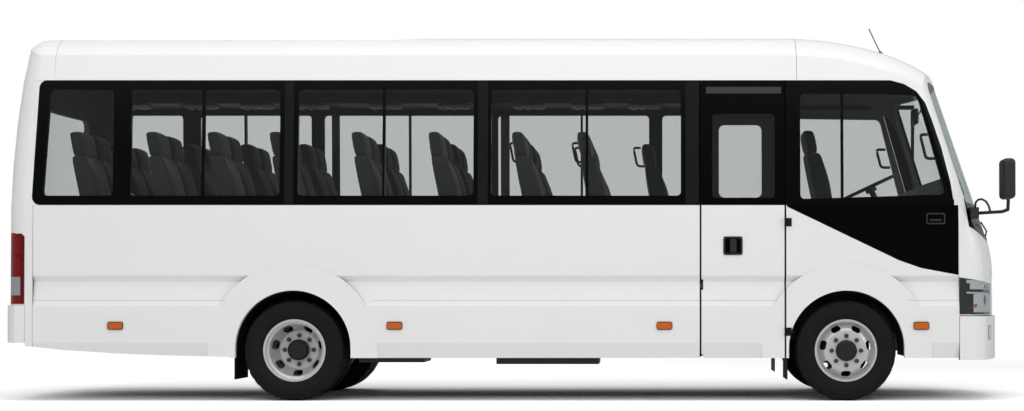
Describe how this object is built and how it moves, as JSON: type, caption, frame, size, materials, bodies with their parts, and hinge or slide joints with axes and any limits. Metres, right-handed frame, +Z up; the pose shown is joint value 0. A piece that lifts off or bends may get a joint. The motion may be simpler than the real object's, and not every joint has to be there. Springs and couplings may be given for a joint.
{
  "type": "minibus",
  "caption": "White minibus with black window bands, hinged passenger and driver doors, steered front wheels and twin rear wheels, cabin fitted with seats",
  "frame": {"origin": "centre of the footprint on the ground", "axes": "+X forward, +Y the vehicle's left, +Z up"},
  "size_m": [7.365, 2.6, 2.7536],
  "materials": {
    "body_white": "gloss",
    "band_black": "gloss",
    "glass": "clear",
    "lamp_clear": "clear",
    "lamp_red": "clear",
    "lamp_amber": "clear",
    "black_plastic": "satin",
    "chassis_black": "satin",
    "cast": "rough",
    "exhaust_steel": "dull",
    "floor_grey": "satin",
    "seat_fabric": "woven",
    "rail_steel": "polished",
    "rubber": "matte",
    "wheel_silver": "satin"
  },
  "bodies": {
    "body": {"side_wall_right": "body_white", "side_wall_left": "body_white", "window_band_right": "band_black", "window_band_left": "band_black", "side_windows": "glass", "door_hinges": "chassis_black", "roof_panel": "body_white", "roof_front_cap": "body_white", "roof_rear_cap": "body_white", "front_pillars": "body_white", "windscreen": "glass", "front_panel": "body_white", "headlamps": "lamp_clear", "grille": "black_plastic", "front_bumper": "body_white", "fog_lamps": "lamp_clear", "rear_panel": "body_white", "tail_lamps": "lamp_red", "rear_window": "glass", "rear_bumper": "body_white", "chassis_frame": "chassis_black", "front_axle": "chassis_black", "rear_axle": "chassis_black", "leaf_springs": "chassis_black", "engine": "cast", "propshaft": "chassis_black", "fuel_tank": "chassis_black", "battery_box": "black_plastic", "exhaust": "exhaust_steel", "floor": "floor_grey", "wheel_liners": "black_plastic", "dashboard": "black_plastic", "steering_wheel": "black_plastic", "seats": "seat_fabric", "seat_frames": "floor_grey", "luggage_racks": "floor_grey", "handrails": "rail_steel", "mirrors": "black_plastic", "wipers": "black_plastic", "aerial": "black_plastic", "side_markers": "lamp_amber"},
    "knuckle_right": {"knuckle_right": "chassis_black"},
    "knuckle_left": {"knuckle_left": "chassis_black"},
    "wheel_front_right": {"tyre_front_right": "rubber", "rim_front_right": "wheel_silver", "hub_front_right": "cast"},
    "wheel_front_left": {"tyre_front_left": "rubber", "rim_front_left": "wheel_silver", "hub_front_left": "cast"},
    "wheel_rear_right": {"tyres_rear_right": "rubber", "rims_rear_right": "wheel_silver", "hub_rear_right": "cast"},
    "wheel_rear_left": {"tyres_rear_left": "rubber", "rims_rear_left": "wheel_silver", "hub_rear_left": "cast"},
    "passenger_door": {"passenger_door": "body_white", "passenger_door_glass": "glass"},
    "driver_door": {"driver_door": "body_white", "driver_door_glass": "glass"}
  },
  "joints": [
    {"name": "steer_right", "type": "hinge", "parent": "body", "child": "knuckle_right", "pos_m": [2.46, -0.798, 0.363], "axis": [0, 0, 1], "range_deg": [-32, 32]},
    {"name": "steer_left", "type": "hinge", "parent": "body", "child": "knuckle_left", "pos_m": [2.46, 0.798, 0.363], "axis": [0, 0, 1], "range_deg": [-32, 32]},
    {"name": "spin_front_right", "type": "hinge", "parent": "knuckle_right", "child": "wheel_front_right", "pos_m": [2.46, -0.858, 0.363], "axis": [0, 1, 0], "continuous": true},
    {"name": "spin_front_left", "type": "hinge", "parent": "knuckle_left", "child": "wheel_front_left", "pos_m": [2.46, 0.858, 0.363], "axis": [0, 1, 0], "continuous": true},
    {"name": "spin_rear_right", "type": "hinge", "parent": "body", "child": "wheel_rear_right", "pos_m": [-1.535, -0.738, 0.363], "axis": [0, 1, 0], "continuous": true},
    {"name": "spin_rear_left", "type": "hinge", "parent": "body", "child": "wheel_rear_left", "pos_m": [-1.535, 0.738, 0.363], "axis": [0, 1, 0], "continuous": true},
    {"name": "passenger_door_hinge", "type": "hinge", "parent": "body", "child": "passenger_door", "pos_m": [2.018, -1.011, 0.9], "axis": [0, 0, 1], "range_deg": [0, 80]},
    {"name": "driver_door_hinge", "type": "hinge", "parent": "body", "child": "driver_door", "pos_m": [3.194, 1.009, 1.2], "axis": [0, 0, -1], "range_deg": [0, 70]}
  ],
  "couplings": [
    {"joint": "steer_left", "follows": "steer_right", "ratio": 1}
  ]
}
